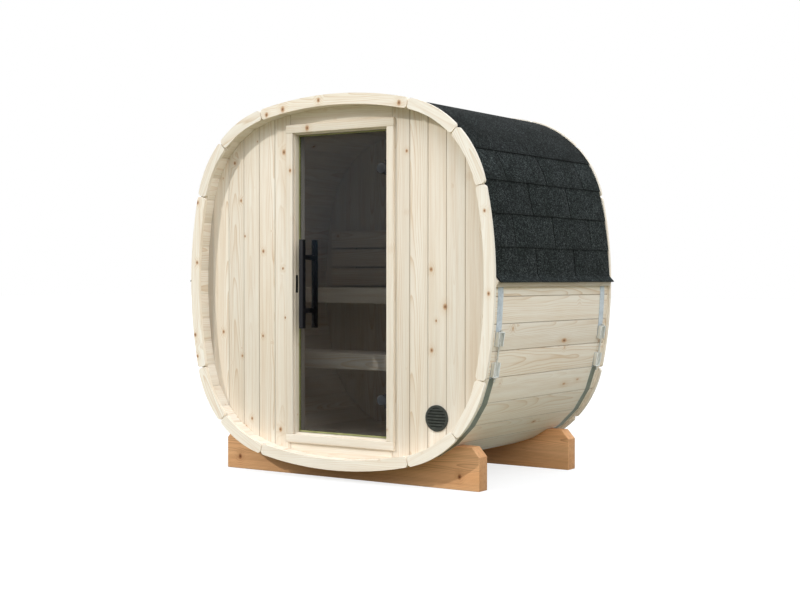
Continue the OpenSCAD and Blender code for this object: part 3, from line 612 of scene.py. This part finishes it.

# %% [markdown]
# ## Granules and bitumen
# The felt is coated with crushed slate: a dark grey with a touch of green, full of single grains that
# catch the light. Grains are far smaller than a tab, so they are cells of two fine noises that set the
# colour and the bump. Each tab has its own shade, and the wide top sheet is painted darker as painted
# shade. Where the felt is cut, its edge shows plain black bitumen.

# %% Granule and bitumen finishes
FINE_GRAIN, COARSE_GRAIN, GRAIN_SHARE = 540.0, 230.0, 0.55
TAB_SWING, TAB_DARKEST = 0.20, 0.90
granules, tree, shader = start_material("slate_granules")
place = coordinate(tree)
tab_tone_and_painted_shade = add(tree, "Attribute", attribute_name="tab").outputs["Fac"]
fine = add(tree, "TexVoronoi", {"Vector": place, "Scale": FINE_GRAIN})
coarse = add(tree, "TexVoronoi", {"Vector": place, "Scale": COARSE_GRAIN})
grain = one_channel(tree, fine.outputs["Color"], 0)
lump = one_channel(tree, coarse.outputs["Color"], 1)
patch = grain_noise(tree, place, 60, 3, 0.65)
broad = grain_noise(tree, place, 7, 3)
light = sums(tree, "MULTIPLY", fade(tree, grain, 0.45, 1.0), fade(tree, patch, 0.35, 0.70))
light = sums(tree, "MULTIPLY", light, GRAIN_SHARE)
light = sums(tree, "MULTIPLY_ADD", fade(tree, lump, 0.62, 1.0), GRAIN_SHARE, light)
colour = blend_colour(tree, light, screen(17, 21, 22), screen(100, 108, 107))
colour = blend_colour(tree, fade(tree, broad, 0.3, 0.7), colour, screen(208, 214, 210), "MULTIPLY")
colour = darken(tree, colour, sums(tree, "MULTIPLY_ADD", tab_tone_and_painted_shade, TAB_SWING, TAB_DARKEST))
rise = sums(tree, "MULTIPLY_ADD", patch, 0.6, sums(tree, "ADD", grain, lump))
feed(tree, shader, Base_Color=colour, Roughness=0.90, Normal=relief(tree, rise, 0.60, 0.0012),
     Specular_IOR_Level=0.12)

bitumen, tree, shader = start_material("bitumen_edge")
drag = grain_noise(tree, stretch(tree, coordinate(tree), (60, 8, 60)), 8.0, 3)
colour = two_tone(tree, drag, 0.3, 0.75, (9, 10, 10), (26, 28, 27))
feed(tree, shader, Base_Color=colour, Roughness=0.75, Normal=relief(tree, drag, 0.30, 0.0008),
     Specular_IOR_Level=0.15)
print("roof finishes", granules.name, bitumen.name)

# %% [markdown]
# ## Shingles
# The lower roof is laid in four courses of thick felt tabs, three to a row, with every second row
# set off by half a tab, and one wide sheet covers the rest up to the ridge. A tab is a flat plate
# with a little thickness and worn edges: a grid that is thickened and bevelled. It is made once for
# each width, and each copy is bent onto its place on the curve, a little askew, as a roofer leaves
# it. The lowest row runs out over the eave's batten.

# %% Shingle tabs
ROOF_FRONT, ROOF_BACK = -0.6615, 0.6615
COURSE, SECOND_COURSE, FIRST_RUN, LAP = 0.176, 0.184, 0.038, 0.045
TAB_ROWS, TABS = 4, 3
TAB_W, TAB_T, TAB_GAP = (ROOF_BACK - ROOF_FRONT) / TABS, 0.0068, 0.0066
TAB_STEPS, FIRST_STEPS, SHEET_STEPS = 8, 16, 40
TAB_WEAR, TAB_SHARP = 0.0009, math.radians(50)
SKEW, SLIP, LIFT = 0.003, 0.0010, 0.0006
# Painted shade: the wide top sheet's tone is set darker than any tab, because it faces the light
# overhead.
SHEET_PAINTED_SHADE = -1.1
BUTT_RISE, TOP_RISE, TUCK = 0.0118, 0.0050, 0.012
EAVE_EDGE, EAVE_KNEE, DRIP = Vector((1.0465, 1.105)), Vector((1.0205, 1.135)), 0.014
EAVE_FALL = (EAVE_EDGE - EAVE_KNEE).normalized()
EAVE_UP = Vector((-EAVE_FALL.y, EAVE_FALL.x))
EAVE_RUN = (EAVE_EDGE - EAVE_KNEE).length + DRIP
EAVE_TIP = EAVE_KNEE + EAVE_FALL * EAVE_RUN
RIDGE_GAP = 0.0005
RIDGE_RUN = ROOF_HALF_RUN - RIDGE_GAP


def flat_tab(width, length, steps):
    """A tab lying flat: X across it, Y up the roof from its lower edge, Z out of the roof."""
    tab = new_piece(bpy.ops.mesh.primitive_grid_add, x_subdivisions=4, y_subdivisions=steps, size=1)
    bpy.ops.object.mode_set(mode="EDIT")
    bpy.ops.transform.resize(value=(width, length, 1))
    bpy.ops.transform.translate(value=(0, length / 2, 0))
    bpy.ops.object.mode_set(mode="OBJECT")
    tab.data.materials.append(granules)
    tab.data.materials.append(bitumen)
    apply_modifier(tab, "SOLIDIFY", thickness=TAB_T, offset=-1, material_offset=1, material_offset_rim=1)
    apply_modifier(tab, "BEVEL", width=TAB_WEAR, segments=2, limit_method="ANGLE", angle_limit=TAB_SHARP)
    return tab


def shade_tab(tab, shade):
    tone = np.full(len(tab.data.vertices), shade)
    tab.data.attributes.new("tab", "FLOAT", "POINT").data.foreach_set("value", tone)


def bend_to_roof(tab, run, y, side, course, luck):
    """Lays a copy of a flat tab on one side of the roof, with its lower edge at a run."""
    alone(tab)
    bpy.ops.object.duplicate()
    copy = bpy.context.active_object
    skew, slip, lift = luck.uniform(-SKEW, SKEW), luck.uniform(-SLIP, SLIP), luck.uniform(0, LIFT)
    for vertex in copy.data.vertices:
        across, up, out = vertex.co
        up = up + slip + skew * across
        if course == 0 and up < EAVE_RUN:
            upper = Vector(roof_point(FIRST_RUN, BUTT_RISE + out))
            x, z = upper.lerp(EAVE_TIP + EAVE_UP * (BUTT_RISE + out), 1 - up / EAVE_RUN)
        else:
            at = FIRST_RUN + up - EAVE_RUN if course == 0 else run + up
            exposed = min(max((at - run) / COURSE, 0), 1)
            under = min(max(at - run - COURSE, 0), LAP) if course < TAB_ROWS else 0
            height = BUTT_RISE + (TOP_RISE - BUTT_RISE) * exposed - TUCK * under
            x, z = roof_point(min(at, RIDGE_RUN), height + lift * (1 - exposed) + out)
        vertex.co = (side * x, y + across, z)
    # Tabs get a random tone, and the top sheet gets the darker painted shade.
    shade_tab(copy, luck.uniform() if course < TAB_ROWS else SHEET_PAINTED_SHADE)
    return copy


sheet_run = SECOND_COURSE + (TAB_ROWS - 1) * COURSE
whole = flat_tab(TAB_W - TAB_GAP, COURSE + LAP, TAB_STEPS)
half = flat_tab(TAB_W / 2 - TAB_GAP / 2, COURSE + LAP, TAB_STEPS)
first = flat_tab(TAB_W - TAB_GAP, EAVE_RUN + SECOND_COURSE - FIRST_RUN + LAP, FIRST_STEPS)
sheet = flat_tab(ROOF_BACK - ROOF_FRONT, RIDGE_RUN - sheet_run, SHEET_STEPS)
roof_sides = {1: [], -1: []}
luck = np.random.default_rng(5)
for side in roof_sides:
    for course in range(TAB_ROWS + 1):
        run = FIRST_RUN if course == 0 else SECOND_COURSE + (course - 1) * COURSE
        if course == TAB_ROWS:
            row = [(sheet, (ROOF_FRONT + ROOF_BACK) / 2)]
        elif course % 2 == 0:
            row = [(whole if course else first, ROOF_FRONT + (k + 0.5) * TAB_W) for k in range(TABS)]
        else:
            row = [(whole, ROOF_FRONT + (k + 1) * TAB_W) for k in range(TABS - 1)]
            row += [(half, ROOF_FRONT + TAB_W / 4), (half, ROOF_BACK - TAB_W / 4)]
        for tab, y in row:
            roof_sides[side].append(bend_to_roof(tab, run, y, side, course, luck))
for tab in (whole, half, first, sheet):
    bpy.data.objects.remove(tab)
print("rows of tabs", TAB_ROWS, "pieces of felt", sum(map(len, roof_sides.values())))

# %% [markdown]
# ## Underlay and ridge
# Under the tabs lies a plain sheet of felt, which shows dark in the slots. It is one strip of the
# roof's curve with a little thickness. A starter strip goes on from it over the eave's batten, or
# else bare wood would show between the lowest tabs. Short caps, lapped from back to front, close
# the ridge.

# %% Underlay and ridge
UNDERLAY_T, UNDERLAY_START, UNDERLAY_STEPS = 0.0008, 0.004, 60
STARTER_T, STARTER_RISE, STARTER_LAP, STARTER_SHORT = 0.0010, 0.0040, 0.030, 0.006
STARTER_LINE = [EAVE_TIP - EAVE_FALL * STARTER_SHORT + EAVE_UP * STARTER_RISE,
                roof_point(FIRST_RUN, STARTER_RISE), roof_point(FIRST_RUN + STARTER_LAP, STARTER_RISE)]
CAPS, CAP_SPAN, CAP_LAP = 9, 0.300, 0.035
CAP_RISE, CAP_FALL = 0.0140, 0.0030
CAP_EXPOSED = (ROOF_BACK - ROOF_FRONT) / CAPS


def felt_strip(line, thickness, half_length, side):
    """A plain strip of felt along the roof, through the places (x, z) of a line up one side."""
    steps = len(line) - 1
    strip = new_piece(bpy.ops.mesh.primitive_grid_add, x_subdivisions=1, y_subdivisions=steps, size=1)
    for vertex in strip.data.vertices:
        x, z = line[round((vertex.co.y + 0.5) * steps)]
        vertex.co = (side * x, 2 * vertex.co.x * half_length, z)
    apply_modifier(strip, "SOLIDIFY", thickness=thickness, offset=-side)
    strip.data.materials.append(bitumen)
    shade_tab(strip, 0.0)
    return strip


felt_runs = np.linspace(FIRST_RUN + UNDERLAY_START, RIDGE_RUN, UNDERLAY_STEPS + 1)
felt_line = [roof_point(run, UNDERLAY_T) for run in felt_runs]
for side in roof_sides:
    roof_sides[side] += [felt_strip(felt_line, UNDERLAY_T, ROOF_BACK - RIDGE_GAP, side),
                         felt_strip(STARTER_LINE, STARTER_T, ROOF_BACK - STARTER_SHORT, side)]

caps = []
for number in range(CAPS):
    reach = CAP_EXPOSED + (CAP_LAP if number < CAPS - 1 else 0)
    cap = flat_tab(CAP_SPAN, reach, 3)
    apply_modifier(cap, "SUBSURF", levels=1, render_levels=1, subdivision_type="SIMPLE")
    start = ROOF_FRONT + number * CAP_EXPOSED
    for vertex in cap.data.vertices:
        across, up, out = vertex.co
        x, z = roof_point(ROOF_HALF_RUN + across, CAP_RISE - CAP_FALL * up / reach + out)
        vertex.co = (x, start + up, z)
    shade_tab(cap, luck.uniform())
    caps.append(cap)


def join_pieces(parts, name):
    alone(parts[0])
    for part in parts:
        part.select_set(True)
    bpy.ops.object.join()
    piece = bpy.context.active_object
    piece.name = piece.data.name = name
    bpy.ops.object.mode_set(mode="EDIT")
    bpy.ops.mesh.select_all(action="SELECT")
    bpy.ops.mesh.normals_make_consistent(inside=False)
    bpy.ops.object.mode_set(mode="OBJECT")
    bpy.ops.object.shade_smooth_by_angle(angle=SHARP)
    return piece


for name, parts, node in (("shingles_right_laid", roof_sides[1], "shingles_right"),
                          ("shingles_left_laid", roof_sides[-1], "shingles_left"),
                          ("ridge_caps_laid", caps, "ridge_shingles")):
    piece = join_pieces(parts, name)
    settle(piece, "cabin", "roof_shingle", node)
    print(name, len(piece.data.polygons), "faces", [m.name for m in piece.data.materials])

# %% [markdown]
# ## Zinc and steel
# The bands are hot-dip galvanised: a dull shine broken into faint crystals. Where they turn under the
# barrel, their downward faces are painted a dark olive, a painted reflection of the ground. The brackets
# are brightly plated. The bolts are plain steel, and their fine thread is a wave along them that only
# the bump has to show.

# %% Zinc and steel finishes
CRYSTALS, THREAD = 95.0, 0.0008
# Painted reflection of the ground: which downward faces are darkened.
PAINTED_REFLECTION_FROM, PAINTED_REFLECTION_TO = -0.14, -0.22
zinc, tree, shader = start_material("galvanised_zinc")
place = coordinate(tree)
crystals = add(tree, "TexVoronoi", {"Vector": place, "Scale": CRYSTALS})
crystal = one_channel(tree, crystals.outputs["Color"], 0)
dust = grain_noise(tree, place, 22, 3)
colour = blend_colour(tree, crystal, screen(188, 197, 204), screen(204, 212, 219))
colour = blend_colour(tree, fade(tree, dust, 0.35, 0.75), colour, screen(228, 231, 232), "MULTIPLY")
# Painted reflection: faces that turn downward are darkened to a dark olive, standing in for the
# reflected ground.
facing = one_axis(tree, coordinate(tree, "Normal"), 2)
painted_ground_reflection = fade(tree, sums(tree, "MULTIPLY_ADD", dust, 0.03, facing), PAINTED_REFLECTION_FROM, PAINTED_REFLECTION_TO)
colour = blend_colour(tree, painted_ground_reflection, colour, screen(150, 151, 128), "MULTIPLY")
rough = sums(tree, "MULTIPLY_ADD", dust, 0.16, sums(tree, "MULTIPLY_ADD", crystal, 0.06, 0.42))
feed(tree, shader, Base_Color=colour, Metallic=0.20, Roughness=rough,
     Normal=relief(tree, crystal, 0.05, 0.0004), Specular_IOR_Level=0.2)

steel, tree, shader = start_material("rod_steel")
place = coordinate(tree)
thread = sums(tree, "PINGPONG", one_axis(tree, place, 2), THREAD)
colour = two_tone(tree, grain_noise(tree, place, 60, 3), 0.3, 0.7, (180, 179, 170), (204, 204, 196))
feed(tree, shader, Base_Color=colour, Metallic=0.35, Roughness=0.45,
     Normal=relief(tree, thread, 0.5, 1.0))

plating, tree, shader = start_material("bright_plating")
rub = grain_noise(tree, stretch(tree, coordinate(tree), (20, 20, 3)), 9.0, 3)
colour = two_tone(tree, rub, 0.3, 0.7, (214, 217, 214), (240, 242, 238))
rough = sums(tree, "MULTIPLY_ADD", rub, 0.20, 0.22)
feed(tree, shader, Base_Color=colour, Metallic=0.60, Roughness=rough,
     Normal=relief(tree, rub, 0.10, 0.0004))
print("metals", zinc.name, steel.name, plating.name)

# %% [markdown]
# ## Black paint and plastic
# The outer handle, the hinge leaves and the strike plate have a fine black powder coat. The inner handle
# behind the glass gets a darker, duller copy of it as painted shade, and the hinges' clamps are a dark
# grey. The three are one finish with other values. The vent is moulded in dark plastic that has gone a
# little chalky.

# %% Black and plastic finishes
PEEL_SCALE, PEEL_STRENGTH, PEEL_DEPTH = 900, 0.12, 0.0003


def powder_coat(name, cloud_scale, dark, light, rough, rough_swing, shine):
    material, tree, shader = start_material(name)
    place = coordinate(tree)
    cloud = grain_noise(tree, place, cloud_scale, 3)
    peel = grain_noise(tree, place, PEEL_SCALE)
    if rough_swing:
        rough = sums(tree, "MULTIPLY_ADD", cloud, rough_swing, rough)
    feed(tree, shader, Base_Color=two_tone(tree, cloud, 0.3, 0.8, dark, light), Roughness=rough,
         Normal=relief(tree, peel, PEEL_STRENGTH, PEEL_DEPTH), Specular_IOR_Level=shine)
    return material


black = powder_coat("black_powder_coat", 30, (13, 13, 17), (22, 22, 27), 0.40, 0.16, 0.20)
# Painted shade: a darker, duller copy of the black coat for the handle behind the glass.
shaded_black = powder_coat("shaded_powder_coat", 24, (7, 7, 9), (14, 14, 17), 0.60, 0.15, 0.06)
hinge_paint = powder_coat("grey_hinge_paint", 40, (31, 33, 36), (42, 44, 48), 0.50, 0.0, 0.25)

plastic, tree, shader = start_material("moulded_plastic")
place = coordinate(tree)
chalk = grain_noise(tree, place, 45, 4, 0.6)
stipple = grain_noise(tree, place, 1200, 1)
colour = two_tone(tree, chalk, 0.3, 0.75, (46, 49, 45), (62, 65, 59))
feed(tree, shader, Base_Color=colour, Roughness=0.62, Normal=relief(tree, stipple, 0.10, 0.0002),
     Specular_IOR_Level=0.25)
print("paints", black.name, shaded_black.name, hinge_paint.name, plastic.name)

# %% [markdown]
# ## Smoked glass and its seal
# The door is a pane of smoked glass, a dark sheet that reflects and lets part of the light through.
# Low down it is near black and more opaque, a painted shade; in its upper half it turns bluish, a
# painted reflection of the sky. Its cut edges show olive, as thick glass does. A soft olive seal runs
# round its free edges.

# %% Glass and seal finishes
# Heights over which the painted sky reflection rises.
PAINTED_SKY_FROM, PAINTED_SKY_TO = 0.90, 1.50
SHADE_OPACITY_FROM, SHADE_OPACITY_TO, SHADE_OPACITY_LOW, SHADE_OPACITY_HIGH, DENSE_EDGE = 0.75, 1.30, 0.28, 0.20, 0.62
glass, tree, shader = start_material("smoked_glass")
place = coordinate(tree)
facing = one_axis(tree, coordinate(tree, "Normal"), 1)
edge = fade(tree, sums(tree, "ABSOLUTE", facing), 0.9, 0.6)
smear = grain_noise(tree, stretch(tree, place, (3, 3, 1)), 4.0, 3)
level = one_axis(tree, place, 2)
# Painted shade and reflection: near black low down, a bluish painted sky reflection higher up.
painted_sky_and_shade = two_tone(tree, level, PAINTED_SKY_FROM, PAINTED_SKY_TO, (8, 7, 6), (46, 57, 70))
colour = blend_colour(tree, edge, painted_sky_and_shade, screen(112, 116, 66))
# Painted shade: the pane is more opaque low down; its olive edges are more opaque too.
edge_and_shade_opacity = fade(tree, level, SHADE_OPACITY_FROM, SHADE_OPACITY_TO, SHADE_OPACITY_LOW, SHADE_OPACITY_HIGH)
edge_and_shade_opacity = sums(tree, "MULTIPLY_ADD", edge, DENSE_EDGE, edge_and_shade_opacity)
rough = sums(tree, "MULTIPLY_ADD", smear, 0.03, 0.005)
feed(tree, shader, Base_Color=colour, Alpha=edge_and_shade_opacity, Roughness=rough, Specular_IOR_Level=0.24)

rubber, tree, shader = start_material("olive_seal")
cloud = grain_noise(tree, coordinate(tree), 14, 3)
colour = two_tone(tree, cloud, 0.3, 0.75, (132, 134, 88), (154, 155, 108))
rough = sums(tree, "MULTIPLY_ADD", cloud, 0.15, 0.38)
feed(tree, shader, Base_Color=colour, Roughness=rough, Specular_IOR_Level=0.3)
print("door finishes", glass.name, rubber.name)

# %% [markdown]
# ## Fittings
# Bands are thin and keep their solids. Brackets, bolts, handles, hinges, the vent and the pane get
# softened copies, so that their edges catch a line of light.

# %% Fittings
for node in ("front_band", "rear_band"):
    nodes[node].data.materials.clear()
    nodes[node].data.materials.append(zinc)
FITTINGS = [("band_brackets", 0.0008, "cabin", plating, "zinc_steel"),
            ("tension_rods", 0.0010, "cabin", steel, "zinc_steel"),
            ("strike_plate", 0.0004, "cabin", black, "black_metal"),
            ("hinge_leaves", 0.0006, "cabin", black, "black_metal"),
            ("vent_grille", 0.0006, "cabin", plastic, "black_metal"),
            ("hinge_clamps", 0.0008, "door", hinge_paint, "black_metal"),
            ("handle_outside", 0.0045, "door", black, "black_metal"),
            ("handle_inside", 0.0015, "door", shaded_black, "black_metal"),
            ("door_glass", 0.0010, "door", glass, "smoked_glass")]
for node, width, body, finish, slot in FITTINGS:
    piece = softened_copy(node, "finished", width)
    piece.data.materials.append(finish)
    settle(piece, body, slot, node)
print("fittings", len(FITTINGS))

# %% [markdown]
# ## The door's seal
# A soft profile is pushed onto the free edges of the pane and closes the gap to the frame. It is a
# channel: a bar whose inner face is inset and pushed in, so that two lips hold the glass. One bar
# serves the lock side, and two more run along the top and the bottom.

# %% Door seal
GLASS_SIDE, GLASS_LOW, GLASS_HIGH, GLASS_Y = 0.307, 0.250, 1.925, -0.568
SIDE_LIP, SILL_LIP, LIP_T = 0.0040, 0.0065, 0.0014
SEAL_W, SEAL_OUT, SEAL_ROUND = 0.0112, 0.0034, 0.0005


def seal_bar(length, lip):
    """A channel along X, open upwards, with its mouth at the level 0."""
    bar = new_piece(bpy.ops.mesh.primitive_cube_add, size=1)
    bpy.ops.object.mode_set(mode="EDIT")
    bpy.ops.transform.resize(value=(length, SEAL_W, lip + SEAL_OUT))
    bpy.ops.transform.translate(value=(0, 0, -(lip + SEAL_OUT) / 2))
    bpy.ops.mesh.select_all(action="DESELECT")
    bpy.ops.object.mode_set(mode="OBJECT")
    for face in bar.data.polygons:
        face.select = face.normal.z > 0.5
    bpy.ops.object.mode_set(mode="EDIT")
    bpy.ops.mesh.select_mode(type="FACE")
    bpy.ops.mesh.inset(thickness=LIP_T)
    bpy.ops.mesh.extrude_region_move(TRANSFORM_OT_translate={"value": (0, 0, -lip)})
    bpy.ops.object.mode_set(mode="OBJECT")
    soften(bar, SEAL_ROUND)
    return bar


on_lock_side = Matrix.Translation((SIDE_LIP - GLASS_SIDE, GLASS_Y, (GLASS_LOW + GLASS_HIGH) / 2))
on_lock_side = on_lock_side @ Matrix.Rotation(math.pi / 2, 4, "Y")
at_bottom = Matrix.Translation((0, GLASS_Y, GLASS_LOW + SILL_LIP))
at_top = Matrix.Translation((0, GLASS_Y, GLASS_HIGH - SIDE_LIP)) @ Matrix.Rotation(math.pi, 4, "X")
bars = []
for length, lip, place in ((GLASS_HIGH - GLASS_LOW, SIDE_LIP, on_lock_side),
                           (2 * GLASS_SIDE, SILL_LIP, at_bottom),
                           (2 * GLASS_SIDE, SIDE_LIP, at_top)):
    bar = seal_bar(length, lip)
    bar.data.transform(place)
    bars.append(bar)
piece = join_pieces(bars, "door_seal")
piece.data.materials.append(rubber)
settle(piece, "door", "smoked_glass")
print("seal bars", len(bars))

# %% [markdown]
# ## Post sleeves and the vent's mesh
# Each post of the handles stands in a thicker sleeve between the bar and the pane, which spreads
# its pull, on both sides of the glass. Behind the vent's louvres a woven mesh keeps insects out: a
# thin disc, whose weave is far too fine to model and comes from two crossed waves in its finish.

# %% Sleeves and mesh
HANDLE_X, HANDLE_Z, POST_REACH, GLASS_T = -0.246, 1.0875, 0.150, 0.008
SLEEVE_R, SLEEVE_L, SLEEVE_ROUND = 0.0140, 0.040, 0.0010
VENT_AT, MESH_R, MESH_T = Vector((0.638, -0.5965, 0.379)), 0.0566, 0.0008
MESH_ROUND, WIRE = 0.0002, 0.0016


def disc_facing_front(radius, thickness, place, edge):
    disc = new_piece(bpy.ops.mesh.primitive_cylinder_add, vertices=48, radius=radius, depth=thickness)
    disc.data.transform(Matrix.Translation(place) @ Matrix.Rotation(math.pi / 2, 4, "X"))
    soften(disc, edge, 3)
    return disc


sleeves = []
for post in (-POST_REACH, POST_REACH):
    for side in (-1, 1):
        place = (HANDLE_X, GLASS_Y + side * (GLASS_T + SLEEVE_L) / 2, HANDLE_Z + post)
        sleeves.append(disc_facing_front(SLEEVE_R, SLEEVE_L, place, SLEEVE_ROUND))
piece = join_pieces(sleeves, "handle_sleeves")
piece.data.materials.append(black)
settle(piece, "door", "black_metal")

weave, tree, shader = start_material("woven_mesh")
place = coordinate(tree)
waves = [sums(tree, "PINGPONG", one_axis(tree, place, axis), WIRE / 2) for axis in (0, 2)]
wire = sums(tree, "MAXIMUM", *(fade(tree, wave, WIRE / 2, WIRE / 5) for wave in waves))
colour = blend_colour(tree, wire, screen(22, 23, 21), screen(64, 67, 61))
feed(tree, shader, Base_Color=colour, Roughness=0.6, Normal=relief(tree, wire, 0.4, 0.0004))
piece = disc_facing_front(MESH_R, MESH_T, VENT_AT, MESH_ROUND)
piece.name = piece.data.name = "vent_mesh"
piece.data.materials.append(weave)
settle(piece, "cabin", "black_metal")
print("sleeves", len(sleeves), "mesh", piece.name)
